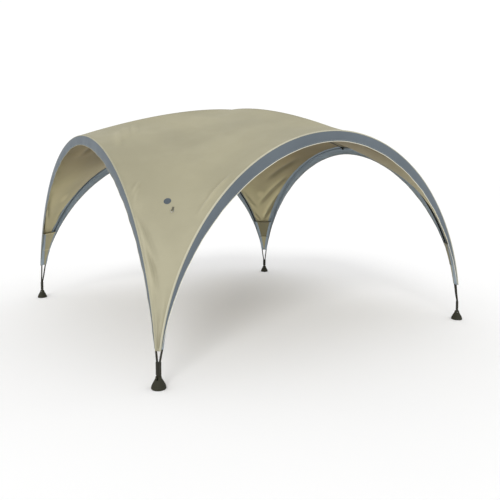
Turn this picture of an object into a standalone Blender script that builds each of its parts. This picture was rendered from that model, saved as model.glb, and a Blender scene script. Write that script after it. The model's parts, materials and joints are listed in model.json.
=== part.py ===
"""Square dome shelter: four side arches, four tilting feet, a roof skin and four valance bands.

Metres, +Z up. The origin is on the ground at the middle of the shelter. The front is -Y.
Side pieces are drawn on the front side and corner pieces on the front left corner, then
turned about Z in quarter turns to the other sides and corners.
"""

import math

import bmesh
import bpy
import numpy as np
from mathutils import Matrix, Vector

# Overall size
FOOT_SPACING = 3.52
ARCH_RISE = 1.915
CROWN_HEIGHT = 2.306
RIDGE_POWER = 1.65

# Sides, corners, and the height of the roof's hem at each corner
SIDES = ("front", "right", "back", "left")
CORNERS = ("front_left", "front_right", "back_right", "back_left")
HEM_HEIGHTS = (0.275, 0.375, 0.355, 0.41)

# Pairs of legs
LEG_PITCH = 0.021
LEG_RADIUS = 0.008
LEG_WALL = 0.0014
LEG_BOTTOM = 0.115
LEG_SPREAD_START = 0.197
LEG_SPREAD_END = 0.29
LEG_TOP_DIVISION = 8

# A piece ends between two divisions of the arch: a division closer than this is left out
LEAST_STEP = 0.02

# Bows over the arches, and the sleeves round them
BOW_RADIUS = 0.0055
SLEEVE_RADIUS = 0.0115
SLEEVE_WALL = 0.003
SLEEVE_END_GAP = 0.05
ARCH_DIVISIONS = 32

# Roof skin and valances
FABRIC = 0.0015
SEAM_OFFSET = 0.014
ROOF_DIVISIONS = 12
QUARTER_GAP = 0.001
VALANCE_FACE = 0.013
VALANCE_TOP_OFFSET = 0.0092
VALANCE_LOW_HALF_SPAN = 1.7706
VALANCE_LOW_RISE = 1.842
VALANCE_ROUNDNESS = 1.88
VALANCE_END_ABOVE_HEM = 0.07

# Roof poles, their saddles and the hub at the crown
ROOF_POLE_RADIUS = 0.0055
ROOF_POLE_DROP = 0.018
ROOF_POLE_STEP = 0.0125
ROOF_POLE_DIVISIONS = 24
ROOF_POLE_END_GAP = 0.022
SADDLE_BORE = 0.013
SADDLE_RADIUS = 0.0158
SADDLE_LENGTH = 0.028
SADDLE_LIP = 0.002
SADDLE_CUT = 0.08
CUP_RADIUS = 0.009
CUP_BORE = 0.0062
CUP_DEPTH = 0.028
CUP_ROOT = 0.012
CUP_BORE_MARGIN = 0.0015
HUB_SIZE = 0.034
HUB_WALL = 0.003
HUB_BEVEL = 0.004

# Corner pockets inside the pairs of legs
POCKET_TOP = 0.83
POCKET_ABOVE_HEM = 0.01
POCKET_OFFSET = 0.0115
POCKET_OVERLAP = 0.004
POCKET_DIVISIONS = 5

# Feet
FOOT_RADIUS = 0.055
FOOT_RIM_TOP = 0.014
FOOT_RIM_LOW = 0.004
FOOT_SOLE_CHAMFER = 0.003
FOOT_NECK_RADIUS = 0.0215
FOOT_NECK_CHAMFER = 0.0015
FOOT_FLARE_HEIGHT = 0.074
FOOT_FLARE_STEPS = 8
FOOT_TOP = 0.094
FOOT_PIVOT = 0.08
FOOT_SLOT = 0.013
FOOT_SLOT_FLOOR = 0.066
FOOT_SIDES = 28
THROUGH_FOOT = 0.14
PIN_RADIUS = 0.003
PIN_HOLE = 0.0034
PIN_HALF_LENGTH = 0.026
SOCKET_BOTTOM = 0.101
SOCKET_TOP = 0.195
SOCKET_RADIUS = 0.0107
SOCKET_BORE = 0.0087
SOCKET_WEB = 0.014
SOCKET_WEB_INSET = 0.001
SOCKET_BORE_MARGIN = 0.001
TONGUE_THICKNESS = 0.0118
TONGUE_RADIUS = 0.010
TONGUE_WIDTH = 0.019
TONGUE_ROOT = 0.01

# Guy-out loops and the badge
LOOP_HEIGHT = 1.27
LOOP_WIDTH = 0.018
LOOP_TAIL = 0.034
LOOP_BORE = 0.0028
LOOP_THICKNESS = 0.0016
LOOP_STEPS = 12
RING_WIRE = 0.0015
RING_WIDTH = 0.026
RING_DEPTH = 0.022
RING_STEPS = 8
BADGE_COLUMN = 7
BADGE_HEIGHT = 1.335
BADGE_RADIUS = 0.03
BADGE_THICKNESS = 0.002
BADGE_BEVEL = 0.0006
TRIM_GAP = 0.0035

HALF_SPACING = FOOT_SPACING / 2
HALF_STEP = LEG_PITCH / 2 / math.sqrt(2)
ARCH_PLANE = HALF_SPACING + HALF_STEP
ARCH_HALF_SPAN = HALF_SPACING - HALF_STEP
ROOF_EDGE = ARCH_PLANE + SEAM_OFFSET
ROOF_EDGE_HEIGHT = ARCH_RISE + SEAM_OFFSET
RIDGE_FALL = CROWN_HEIGHT - ROOF_EDGE_HEIGHT
QUARTER_TURN = math.pi / 2
SHARP_ANGLE = math.radians(35)
OUTWARD = Vector((-1, -1, 0)).normalized()
TANGENT = Vector((1, -1, 0)).normalized()

# Colours are linear RGB
MATERIALS = {
    "roof_fabric": ((0.42, 0.39, 0.27), 0.85, 0.0),
    "valance_fabric": ((0.15, 0.19, 0.22), 0.85, 0.0),
    "pocket_fabric": ((0.30, 0.28, 0.19), 0.9, 0.0),
    "leg_steel": ((0.035, 0.034, 0.024), 0.45, 0.6),
    "fibreglass": ((0.05, 0.05, 0.045), 0.5, 0.0),
    "dark_plastic": ((0.03, 0.03, 0.022), 0.6, 0.0),
    "foot_rubber": ((0.045, 0.043, 0.03), 0.8, 0.0),
    "zinc_steel": ((0.55, 0.55, 0.56), 0.35, 1.0),
    "webbing": ((0.03, 0.03, 0.03), 0.9, 0.0),
    "badge_plastic": ((0.06, 0.07, 0.08), 0.5, 0.0),
}


def clear_scene():
    for obj in list(bpy.data.objects):
        bpy.data.objects.remove(obj, do_unlink=True)
    for block in list(bpy.data.meshes):
        bpy.data.meshes.remove(block)


def new_collection(name):
    collection = bpy.data.collections.new(name)
    bpy.context.scene.collection.children.link(collection)
    return collection


def make_material(node_name, kind):
    """One Principled material for one node, in the colour of its kind."""
    colour, roughness, metallic = MATERIALS[kind]
    material = bpy.data.materials.new(node_name)
    material.use_nodes = True
    shader = material.node_tree.nodes["Principled BSDF"]
    shader.inputs["Base Color"].default_value = (*colour, 1.0)
    shader.inputs["Roughness"].default_value = roughness
    shader.inputs["Metallic"].default_value = metallic
    material.diffuse_color = (*colour, 1.0)
    return material


def turn(obj, quarters):
    """Turns an object about the world's Z axis, origin and all."""
    obj.matrix_world = Matrix.Rotation(quarters * QUARTER_TURN, 4, "Z") @ obj.matrix_world


def finish_part(obj, kind, quarters=0):
    """Puts a piece in the parts' collection, with its material, on its own side or corner."""
    PARTS.objects.link(obj)
    obj.data.materials.append(make_material(obj.name, kind))
    turn(obj, quarters)


def mesh_object(name, bm):
    """An object from a bmesh, shaded smooth except at its sharp edges."""
    mesh = bpy.data.meshes.new(name)
    bm.to_mesh(mesh)
    bm.free()
    mesh.shade_smooth()
    mesh.set_sharp_from_angle(angle=SHARP_ANGLE)
    return bpy.data.objects.new(name, mesh)


def add_modifier(obj, kind, **settings):
    modifier = obj.modifiers.new(kind.title(), kind)
    for key, value in settings.items():
        setattr(modifier, key, value)
    return modifier


def frame_matrix(origin, x_axis, z_axis):
    """A placement at origin whose local X and Z point along the given directions."""
    z_axis = Vector(z_axis).normalized()
    y_axis = z_axis.cross(Vector(x_axis)).normalized()
    x_axis = y_axis.cross(z_axis)
    matrix = Matrix((x_axis, y_axis, z_axis)).transposed().to_4x4()
    matrix.translation = origin
    return matrix


def add_cylinder(bm, radius, depth, matrix, sides=16):
    bmesh.ops.create_cone(
        bm, cap_ends=True, segments=sides, radius1=radius, radius2=radius, depth=depth, matrix=matrix
    )


def add_box(bm, size, matrix):
    scale = Matrix.Diagonal((*size, 1.0))
    bmesh.ops.create_cube(bm, size=1.0, matrix=matrix @ scale)


def boolean(obj, operation, suffix, quarters, shape, *arguments):
    """Joins or cuts a piece with a hidden solid that add_cylinder or add_box makes."""
    bm = bmesh.new()
    shape(bm, *arguments)
    other = mesh_object(f"{obj.name}_{suffix}", bm)
    CUTTERS.objects.link(other)
    other.hide_render = True
    other.display_type = "WIRE"
    turn(other, quarters)
    add_modifier(obj, "BOOLEAN", operation=operation, solver="EXACT", object=other)


def poly_spline(curve, points, closed=False):
    spline = curve.splines.new("POLY")
    spline.use_cyclic_u = closed
    spline.points.add(len(points) - 1)
    for spot, point in zip(spline.points, points):
        spot.co = (*point, 1.0)


def rod(name, points, radius, kind, quarters, wall=None):
    """A round bar along the points, or a tube where a wall thickness is given."""
    curve = bpy.data.curves.new(name, "CURVE")
    curve.dimensions = "3D"
    curve.bevel_depth = radius
    curve.bevel_resolution = 2
    curve.use_fill_caps = wall is None
    poly_spline(curve, points)
    obj = bpy.data.objects.new(name, curve)
    if wall:
        add_modifier(obj, "SOLIDIFY", thickness=wall, offset=-1.0, use_even_offset=True)
    finish_part(obj, kind, quarters)


# The arch, its roof seam and the roof skin, on the front side and the front left corner


def arch_point(angle, offset=0.0):
    """(distance along the side, height) on the arch, moved outwards by offset."""
    along = ARCH_HALF_SPAN * math.cos(angle)
    height = ARCH_RISE * math.sin(angle)
    normal = Vector((math.cos(angle) / ARCH_HALF_SPAN, math.sin(angle) / ARCH_RISE)).normalized()
    return along + offset * normal.x, height + offset * normal.y


def arch_angle(height):
    return math.asin(height / ARCH_RISE)


def grid_angle(division):
    """Angle of one division of the arch, counted from the ground on the left."""
    return math.pi * division / ARCH_DIVISIONS


def angles_down_to(height):
    """Angles from the apex down to a height, on the arch's divisions."""
    lowest = arch_angle(height)
    divisions = range(ARCH_DIVISIONS // 2, 0, -1)
    kept = [grid_angle(i) for i in divisions if grid_angle(i) > lowest + LEAST_STEP]
    return kept + [lowest]


def leg_points():
    """Centre line of a leg: upright in its socket, spreading, then on the arch."""
    start, _ = arch_point(arch_angle(LEG_SPREAD_END))
    points = [
        (ARCH_HALF_SPAN, LEG_BOTTOM),
        (ARCH_HALF_SPAN, LEG_SPREAD_START),
        (start, LEG_SPREAD_END),
    ]
    lowest = arch_angle(LEG_SPREAD_END)
    angles = [grid_angle(i) for i in range(1, LEG_TOP_DIVISION + 1)]
    return points + [arch_point(angle) for angle in angles if angle > lowest + LEAST_STEP]


def ridge_height(distance):
    """Height of the roof's ridge, which runs over each roof pole."""
    return CROWN_HEIGHT - RIDGE_FALL * (distance / ROOF_EDGE) ** RIDGE_POWER


def swap_sides(point):
    """Mirrors a point of the front left corner from the front arch to the left arch."""
    return np.array((point[1], point[0], point[2]))


def stretched_rows(hem_height):
    """Rows of the roof's front left quarter, each a straight line between the two arches.

    The first row follows the two ridges, from the front apex to the crown to the left apex.
    """
    half = ROOF_DIVISIONS / 2
    rows = []
    for angle in angles_down_to(hem_height):
        along, height = arch_point(angle, SEAM_OFFSET)
        front = np.array((-max(along, QUARTER_GAP), -ROOF_EDGE, height))
        shares = np.linspace(0, 1, ROOF_DIVISIONS + 1)[:, None]
        rows.append(front * (1 - shares) + swap_sides(front) * shares)
    for column in range(ROOF_DIVISIONS + 1):
        distance = ROOF_EDGE * abs(column / half - 1)
        ridge = (-QUARTER_GAP, -max(distance, QUARTER_GAP), ridge_height(distance))
        rows[0][column] = ridge if column <= half else swap_sides(ridge)
    return np.array(rows)


def roof_grid(hem_height):
    """Grid of points of the front left quarter, with the cloth evenly tight both ways.

    The edges stay where they are. Each inside point is balanced by its four neighbours,
    which pull across a row by row gap / column gap, and along a column by the inverse.
    """
    grid = stretched_rows(hem_height)
    rows, columns, _ = grid.shape
    row_gap = np.linalg.norm(np.diff(grid[:, 0], axis=0), axis=1).mean()
    column_gap = np.linalg.norm(grid[:, -1] - grid[:, 0], axis=1) / (columns - 1)
    inside = [(r, c) for r in range(1, rows - 1) for c in range(1, columns - 1)]
    index = {cell: i for i, cell in enumerate(inside)}
    balance = np.zeros((len(inside), len(inside)))
    edge_pull = np.zeros((len(inside), 3))
    for (r, c), i in index.items():
        across = row_gap / column_gap[r]
        above = (column_gap[r] + column_gap[r - 1]) / 2 / row_gap
        below = (column_gap[r] + column_gap[r + 1]) / 2 / row_gap
        neighbours = {(r, c - 1): across, (r, c + 1): across, (r - 1, c): above, (r + 1, c): below}
        for cell, pull in neighbours.items():
            balance[i, i] += pull
            if cell in index:
                balance[i, index[cell]] -= pull
            else:
                edge_pull[i] += pull * grid[cell]
    solved = np.linalg.solve(balance, edge_pull)
    for (r, c), i in index.items():
        grid[r, c] = solved[i]
    return grid


def grid_object(name, grid, kind, quarters, offset):
    """A fabric shell over a grid of points, thickened to one side."""
    rows, columns, _ = grid.shape
    bm = bmesh.new()
    spots = [[bm.verts.new(grid[r, c]) for c in range(columns)] for r in range(rows)]
    for r in range(rows - 1):
        for c in range(columns - 1):
            bm.faces.new((spots[r][c], spots[r][c + 1], spots[r + 1][c + 1], spots[r + 1][c]))
    obj = mesh_object(name, bm)
    add_modifier(obj, "SOLIDIFY", thickness=FABRIC, offset=offset)
    finish_part(obj, kind, quarters)


def make_roof_quarter(quarters):
    grid = roof_grid(HEM_HEIGHTS[quarters])
    grid_object("roof_" + CORNERS[quarters], grid, "roof_fabric", quarters, -1.0)
    return grid


def corner_surface(grid, height, column=ROOF_DIVISIONS // 2):
    """Point, outward normal and upward slope on one column of a quarter, at a height."""
    for row in range(len(grid) - 1):
        upper, lower = grid[row, column], grid[row + 1, column]
        if upper[2] >= height >= lower[2]:
            share = (upper[2] - height) / (upper[2] - lower[2])
            point = Vector((1 - share) * upper + share * lower)
            slope = Vector(upper - lower).normalized()
            across = Vector(grid[row, column - 1] - grid[row, column + 1])
            return point, across.cross(slope).normalized(), slope
    raise ValueError("no such height on this quarter")


# Side pieces


def valance_low_point(angle):
    """(distance along the side, height) on the free lower edge, a rounded arch."""
    power = 2 / VALANCE_ROUNDNESS
    along = VALANCE_LOW_HALF_SPAN * abs(math.cos(angle)) ** power
    return math.copysign(along, math.cos(angle)), VALANCE_LOW_RISE * math.sin(angle) ** power


def make_valance(quarters):
    right_hem = HEM_HEIGHTS[(quarters + 1) % 4]
    left = [math.pi - a for a in angles_down_to(HEM_HEIGHTS[quarters] + VALANCE_END_ABOVE_HEM)]
    right = angles_down_to(right_hem + VALANCE_END_ABOVE_HEM)
    face = -ARCH_PLANE - VALANCE_FACE
    rows = []
    for angle in left[::-1] + right[1:]:
        upper_along, upper_height = arch_point(angle, VALANCE_TOP_OFFSET)
        lower_along, lower_height = valance_low_point(angle)
        rows.append(((upper_along, face, upper_height), (lower_along, face, lower_height)))
    grid_object("valance_" + SIDES[quarters], np.array(rows), "valance_fabric", quarters, 1.0)


def side_path(pairs):
    return [(along, -ARCH_PLANE, height) for along, height in pairs]


def make_legs(quarters):
    right = leg_points()
    left = [(-along, height) for along, height in right]
    for hand, pairs in (("left", left), ("right", right)):
        name = f"leg_{SIDES[quarters]}_{hand}"
        rod(name, side_path(pairs), LEG_RADIUS, "leg_steel", quarters, LEG_WALL)


def make_bow(quarters):
    divisions = range(LEG_TOP_DIVISION - 1, ARCH_DIVISIONS - LEG_TOP_DIVISION + 2)
    pairs = [arch_point(grid_angle(i)) for i in divisions]
    name = "bow_" + SIDES[quarters]
    rod(name, side_path(pairs), BOW_RADIUS, "fibreglass", quarters)


def make_sleeve(quarters):
    """Tube of fabric over the bow; it stops just short of the legs at both ends."""
    first = arch_point(grid_angle(LEG_TOP_DIVISION + SLEEVE_END_GAP))
    divisions = range(LEG_TOP_DIVISION + 1, ARCH_DIVISIONS - LEG_TOP_DIVISION)
    pairs = [first] + [arch_point(grid_angle(i)) for i in divisions] + [(-first[0], first[1])]
    name = "sleeve_" + SIDES[quarters]
    rod(name, side_path(pairs), SLEEVE_RADIUS, "roof_fabric", quarters, SLEEVE_WALL)


# Roof poles, saddles and hub


def roof_pole_height(distance, step):
    """Centre line height of a roof pole that passes step lower at the crown."""
    share = 1 - (distance / ROOF_EDGE) ** 2
    return ridge_height(distance) - ROOF_POLE_DROP - step * share


def make_roof_pole(name, quarters, step):
    end = ARCH_PLANE - ROOF_POLE_END_GAP
    points = []
    for i in range(ROOF_POLE_DIVISIONS + 1):
        distance = end * (2 * i / ROOF_POLE_DIVISIONS - 1)
        points.append((0.0, distance, roof_pole_height(abs(distance), step)))
    rod(name, points, ROOF_POLE_RADIUS, "fibreglass", quarters)


def make_saddle(quarters):
    """Half ring under the sleeve at the arch's apex, with a cup for the roof pole's end."""
    step = ROOF_POLE_STEP * (quarters % 2)
    end = ARCH_PLANE - ROOF_POLE_END_GAP
    inner = end - CUP_DEPTH
    pole_end = Vector((0, -end, roof_pole_height(end, step)))
    along_pole = (Vector((0, -inner, roof_pole_height(inner, step))) - pole_end).normalized()
    apex = Vector((0, -ARCH_PLANE, ARCH_RISE))
    across = frame_matrix(apex, (0, 1, 0), (1, 0, 0))
    bm = bmesh.new()
    add_cylinder(bm, SADDLE_RADIUS, SADDLE_LENGTH, across, 20)
    obj = mesh_object("saddle_" + SIDES[quarters], bm)
    cup = frame_matrix(pole_end + along_pole * (CUP_DEPTH - CUP_ROOT) / 2, (1, 0, 0), along_pole)
    bore = frame_matrix(pole_end + along_pole * CUP_DEPTH / 2, (1, 0, 0), along_pole)
    bore_depth = CUP_DEPTH + 2 * CUP_BORE_MARGIN
    outside = Matrix.Translation(apex + Vector((0, SADDLE_LIP - SADDLE_CUT / 2, 0)))
    boolean(obj, "UNION", "cup", quarters, add_cylinder, CUP_RADIUS, CUP_DEPTH + CUP_ROOT, cup)
    boolean(obj, "DIFFERENCE", "bore", quarters, add_cylinder, CUP_BORE, bore_depth, bore)
    boolean(obj, "DIFFERENCE", "ring", quarters, add_cylinder, SADDLE_BORE, 2 * SADDLE_LENGTH, across, 20)
    boolean(obj, "DIFFERENCE", "outside", quarters, add_box, (SADDLE_CUT,) * 3, outside)
    finish_part(obj, "dark_plastic", quarters)


def make_hub():
    """Block at the crown with two crossed bores, one above the other."""
    heights = {"upper": roof_pole_height(0, 0), "lower": roof_pole_height(0, ROOF_POLE_STEP)}
    directions = {"upper": (0, 1, 0), "lower": (1, 0, 0)}
    top = heights["upper"] + ROOF_POLE_RADIUS + HUB_WALL
    bottom = heights["lower"] - ROOF_POLE_RADIUS - HUB_WALL
    bm = bmesh.new()
    middle = Matrix.Translation((0, 0, (top + bottom) / 2))
    add_box(bm, (HUB_SIZE, HUB_SIZE, top - bottom), middle)
    obj = mesh_object("crown_hub", bm)
    add_modifier(obj, "BEVEL", width=HUB_BEVEL, segments=2)
    for level, direction in directions.items():
        bore = frame_matrix(Vector((0, 0, heights[level])), (0, 0, 1), direction)
        boolean(obj, "DIFFERENCE", "bore_" + level, 0, add_cylinder, CUP_BORE, 2 * HUB_SIZE, bore)
    finish_part(obj, "dark_plastic")


# Corner pieces


def make_pocket(quarters):
    """Panel inside a pair of legs, from the roof's hem up to its own top hem."""
    bottom = HEM_HEIGHTS[quarters] + POCKET_ABOVE_HEM
    rows = []
    for i in range(POCKET_DIVISIONS + 1):
        height = bottom + (POCKET_TOP - bottom) * i / POCKET_DIVISIONS
        along, _ = arch_point(arch_angle(height))
        leg = Vector((-along, -ARCH_PLANE, height))
        near = leg - POCKET_OFFSET * OUTWARD + POCKET_OVERLAP * TANGENT
        rows.append((tuple(near), tuple(swap_sides(near))))
    grid = np.array(rows)
    grid_object("pocket_" + CORNERS[quarters], grid, "pocket_fabric", quarters, 0.0)


def corner_origin(height):
    return Vector((-HALF_SPACING, -HALF_SPACING, height))


def foot_profile():
    """(radius, height) down the outside of a foot: neck, bell, rim and sole.

    The bell's side is the mean of a cone and an S curve.
    """
    profile = [
        (0, FOOT_TOP),
        (FOOT_NECK_RADIUS - FOOT_NECK_CHAMFER, FOOT_TOP),
        (FOOT_NECK_RADIUS, FOOT_TOP - FOOT_NECK_CHAMFER),
    ]
    reach = FOOT_RADIUS - FOOT_NECK_RADIUS
    for i in range(FOOT_FLARE_STEPS + 1):
        share = i / FOOT_FLARE_STEPS
        spread = (share + (1 - math.cos(math.pi * share)) / 2) / 2
        height = FOOT_RIM_TOP + FOOT_FLARE_HEIGHT * (1 - share)
        profile.append((FOOT_NECK_RADIUS + reach * spread, height))
    return profile + [(FOOT_RADIUS, FOOT_RIM_LOW), (FOOT_RADIUS - FOOT_SOLE_CHAMFER, 0), (0, 0)]


def make_foot(quarters):
    """Bell-shaped foot, slotted at its neck for the socket's tongue; its origin is on its pin."""
    bm = bmesh.new()
    spots = [bm.verts.new((radius, 0, height - FOOT_PIVOT)) for radius, height in foot_profile()]
    for upper, lower in zip(spots, spots[1:]):
        bm.edges.new((upper, lower))
    obj = mesh_object("foot_" + CORNERS[quarters], bm)
    obj.matrix_world = Matrix.Translation(corner_origin(FOOT_PIVOT))
    turned = {"steps": FOOT_SIDES, "render_steps": FOOT_SIDES}
    add_modifier(obj, "SCREW", use_merge_vertices=True, merge_threshold=0.0001, **turned)
    slot_height = 2 * (FOOT_TOP - FOOT_SLOT_FLOOR)
    slot = frame_matrix(corner_origin(FOOT_TOP), OUTWARD, (0, 0, 1))
    pin = frame_matrix(corner_origin(FOOT_PIVOT), (0, 0, 1), TANGENT)
    boolean(obj, "DIFFERENCE", "slot", quarters, add_box, (THROUGH_FOOT, FOOT_SLOT, slot_height), slot)
    boolean(obj, "DIFFERENCE", "pin_hole", quarters, add_cylinder, PIN_HOLE, THROUGH_FOOT, pin, 12)
    finish_part(obj, "foot_rubber", quarters)


def make_foot_pin(quarters):
    """Pin through the foot's neck and the socket's tongue."""
    bm = bmesh.new()
    add_cylinder(bm, PIN_RADIUS, 2 * PIN_HALF_LENGTH, Matrix.Identity(4), 12)
    obj = mesh_object("foot_pin_" + CORNERS[quarters], bm)
    obj.matrix_world = frame_matrix(corner_origin(FOOT_PIVOT), (0, 0, 1), TANGENT)
    finish_part(obj, "zinc_steel", quarters)


def make_socket(quarters):
    """Two tubes side by side for the legs, on a tongue that hangs on the foot's pin."""
    height = SOCKET_TOP - SOCKET_BOTTOM
    middle = (SOCKET_TOP + SOCKET_BOTTOM) / 2
    bm = bmesh.new()
    web = frame_matrix(corner_origin(middle), OUTWARD, (0, 0, 1))
    add_box(bm, (SOCKET_WEB, LEG_PITCH, height - 2 * SOCKET_WEB_INSET), web)
    obj = mesh_object("socket_" + CORNERS[quarters], bm)
    shifts = {"left": -TANGENT * LEG_PITCH / 2, "right": TANGENT * LEG_PITCH / 2}
    for hand, shift in shifts.items():
        tube = Matrix.Translation(corner_origin(middle) + shift)
        boolean(obj, "UNION", hand + "_tube", quarters, add_cylinder, SOCKET_RADIUS, height, tube, 18)
    plate_height = SOCKET_BOTTOM + TONGUE_ROOT - FOOT_PIVOT
    plate = frame_matrix(corner_origin(FOOT_PIVOT + plate_height / 2), OUTWARD, (0, 0, 1))
    size = (TONGUE_WIDTH, TONGUE_THICKNESS, plate_height)
    pin = frame_matrix(corner_origin(FOOT_PIVOT), (0, 0, 1), TANGENT)
    boolean(obj, "UNION", "tongue", quarters, add_box, size, plate)
    boolean(obj, "UNION", "tongue_end", quarters, add_cylinder, TONGUE_RADIUS, TONGUE_THICKNESS, pin)
    bore_bottom = LEG_BOTTOM - SOCKET_BORE_MARGIN
    bore_top = SOCKET_TOP + TONGUE_ROOT
    for hand, shift in shifts.items():
        bore = Matrix.Translation(corner_origin((bore_top + bore_bottom) / 2) + shift)
        size = (SOCKET_BORE, bore_top - bore_bottom)
        boolean(obj, "DIFFERENCE", hand + "_bore", quarters, add_cylinder, *size, bore, 18)
    boolean(obj, "DIFFERENCE", "pin_hole", quarters, add_cylinder, PIN_HOLE, THROUGH_FOOT, pin, 12)
    finish_part(obj, "dark_plastic", quarters)


def loop_frame(grid):
    """Placement of a guy-out loop: local X across, Z up the roof's slope, Y inwards."""
    point, normal, slope = corner_surface(grid, LOOP_HEIGHT)
    eye = point + normal * (TRIM_GAP + LOOP_BORE + LOOP_THICKNESS)
    return frame_matrix(eye, TANGENT, slope), normal


def make_guy_loop(quarters, grid):
    """Webbing folded round the ring's bar, with a flat tail sewn to the roof above it."""
    place, normal = loop_frame(grid)
    slope = place.col[2].to_3d()
    outer = LOOP_BORE + LOOP_THICKNESS
    start = math.acos(LOOP_BORE / outer)
    outline = [(outer, LOOP_TAIL, 0), (LOOP_BORE, LOOP_TAIL, 0)]
    eye = []
    for i in range(LOOP_STEPS + 1):
        angle = start + (2 * math.pi - start) * i / LOOP_STEPS
        outline.append((outer * math.cos(angle), outer * math.sin(angle), 0))
    for i in range(LOOP_STEPS):
        angle = 2 * math.pi * i / LOOP_STEPS
        eye.append((LOOP_BORE * math.cos(angle), LOOP_BORE * math.sin(angle), 0))
    curve = bpy.data.curves.new("guy_loop_" + CORNERS[quarters], "CURVE")
    curve.dimensions = "2D"
    curve.fill_mode = "BOTH"
    curve.extrude = LOOP_WIDTH / 2
    poly_spline(curve, outline, closed=True)
    poly_spline(curve, eye, closed=True)
    obj = bpy.data.objects.new(curve.name, curve)
    obj.matrix_world = frame_matrix(place.translation, -normal, (-normal).cross(slope))
    finish_part(obj, "webbing", quarters)


def make_guy_ring(quarters, grid):
    """D ring lying down the roof from its loop; its origin is on the bar that it swings about."""
    half = RING_WIDTH / 2
    points = [(-half, 0, 0), (half, 0, 0)]
    for i in range(1, RING_STEPS):
        angle = math.pi * i / RING_STEPS
        points.append((half * math.cos(angle), 0, -RING_DEPTH * math.sin(angle)))
    curve = bpy.data.curves.new("guy_ring_" + CORNERS[quarters], "CURVE")
    curve.dimensions = "3D"
    curve.bevel_depth = RING_WIRE
    curve.bevel_resolution = 1
    poly_spline(curve, points, closed=True)
    obj = bpy.data.objects.new(curve.name, curve)
    obj.matrix_world, _ = loop_frame(grid)
    finish_part(obj, "zinc_steel", quarters)


def make_badge(grid):
    """Plain disc on the front left corner of the roof."""
    point, normal, slope = corner_surface(grid, BADGE_HEIGHT, BADGE_COLUMN)
    middle = point + normal * (TRIM_GAP + BADGE_THICKNESS / 2)
    bm = bmesh.new()
    add_cylinder(bm, BADGE_RADIUS, BADGE_THICKNESS, Matrix.Identity(4), 24)
    obj = mesh_object("badge", bm)
    obj.matrix_world = frame_matrix(middle, slope.cross(normal), normal)
    add_modifier(obj, "BEVEL", width=BADGE_BEVEL, segments=1)
    finish_part(obj, "badge_plastic")


clear_scene()
PARTS = new_collection("tarp_shelter")
CUTTERS = new_collection("cutters")
CUTTERS.hide_render = True
for quarter in range(4):
    quarter_grid = make_roof_quarter(quarter)
    make_valance(quarter)
    make_sleeve(quarter)
    make_legs(quarter)
    make_bow(quarter)
    make_saddle(quarter)
    make_pocket(quarter)
    make_foot(quarter)
    make_foot_pin(quarter)
    make_socket(quarter)
    make_guy_loop(quarter, quarter_grid)
    make_guy_ring(quarter, quarter_grid)
    if quarter == 0:
        make_badge(quarter_grid)
make_roof_pole("roof_pole_front_back", 0, 0.0)
make_roof_pole("roof_pole_left_right", 1, ROOF_POLE_STEP)
make_hub()
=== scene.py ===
"""Looks of the tarp shelter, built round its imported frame.

Metres, +Z up, the front side is -Y. Pieces are shaped on the front side, or on the front left
corner, and turned about Z in quarter turns to the other sides and corners.
"""

import json
import math

import bmesh
import bpy
import numpy as np
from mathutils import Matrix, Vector


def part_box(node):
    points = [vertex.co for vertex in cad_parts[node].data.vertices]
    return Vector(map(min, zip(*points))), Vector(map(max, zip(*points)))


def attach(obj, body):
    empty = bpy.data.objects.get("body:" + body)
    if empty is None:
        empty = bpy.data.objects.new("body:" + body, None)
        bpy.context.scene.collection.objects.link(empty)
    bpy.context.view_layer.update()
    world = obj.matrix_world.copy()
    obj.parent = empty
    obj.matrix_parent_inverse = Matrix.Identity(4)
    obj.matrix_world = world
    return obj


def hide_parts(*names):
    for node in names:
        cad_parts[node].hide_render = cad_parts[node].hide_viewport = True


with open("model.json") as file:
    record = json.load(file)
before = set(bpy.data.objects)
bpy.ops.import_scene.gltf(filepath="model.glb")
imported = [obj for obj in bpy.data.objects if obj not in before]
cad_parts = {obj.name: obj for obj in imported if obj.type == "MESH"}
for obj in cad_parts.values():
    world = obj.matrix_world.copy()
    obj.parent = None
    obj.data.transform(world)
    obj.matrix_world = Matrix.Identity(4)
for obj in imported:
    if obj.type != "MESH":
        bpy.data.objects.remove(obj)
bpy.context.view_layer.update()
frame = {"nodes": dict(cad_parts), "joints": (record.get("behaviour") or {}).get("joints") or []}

SIDES = ("front", "right", "back", "left")
CORNERS = ("front_left", "front_right", "back_right", "back_left")
ROOF_POLES = ("roof_pole_front_back", "roof_pole_left_right")
EDGES = (("front", False), ("left", True))
JOINTS = {joint["name"]: joint for joint in frame["joints"]}

# Sizes read from the frame
leg_low, leg_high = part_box("leg_front_left")
bow_low, bow_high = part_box("bow_front")
roof_low, roof_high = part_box("roof_front_left")
sleeve_low, sleeve_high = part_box("sleeve_front")
badge_low, badge_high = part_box("badge")
LEG_RADIUS = (leg_high.y - leg_low.y) / 2
LEG_BOTTOM = leg_low.z
LEG_TOP = leg_high.z
ARCH_PLANE = -(leg_low.y + leg_high.y) / 2
ARCH_HALF_SPAN = -(leg_low.x + LEG_RADIUS)
BOW_RADIUS = (bow_high.y - bow_low.y) / 2
ARCH_RISE = bow_high.z - BOW_RADIUS
ROOF_EDGE = -roof_low.y
SEAM_OFFSET = ROOF_EDGE - ARCH_PLANE
CROWN_HEIGHT = roof_high.z
RIDGE_FALL = CROWN_HEIGHT - (ARCH_RISE + SEAM_OFFSET)
SLEEVE_RADIUS = (sleeve_high.y - sleeve_low.y) / 2
POCKET_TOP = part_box("pocket_front_left")[1].z
BADGE_PLACE = np.array((badge_low + badge_high) / 2)
BADGE_RADIUS = (badge_high - badge_low).length / (2 * math.sqrt(2))
HEM_HEIGHTS = [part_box("roof_" + corner)[0].z for corner in CORNERS]
LOOP_PLACES = [np.array(JOINTS["guy_ring_swing_" + corner]["pos_m"]) for corner in CORNERS]

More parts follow.
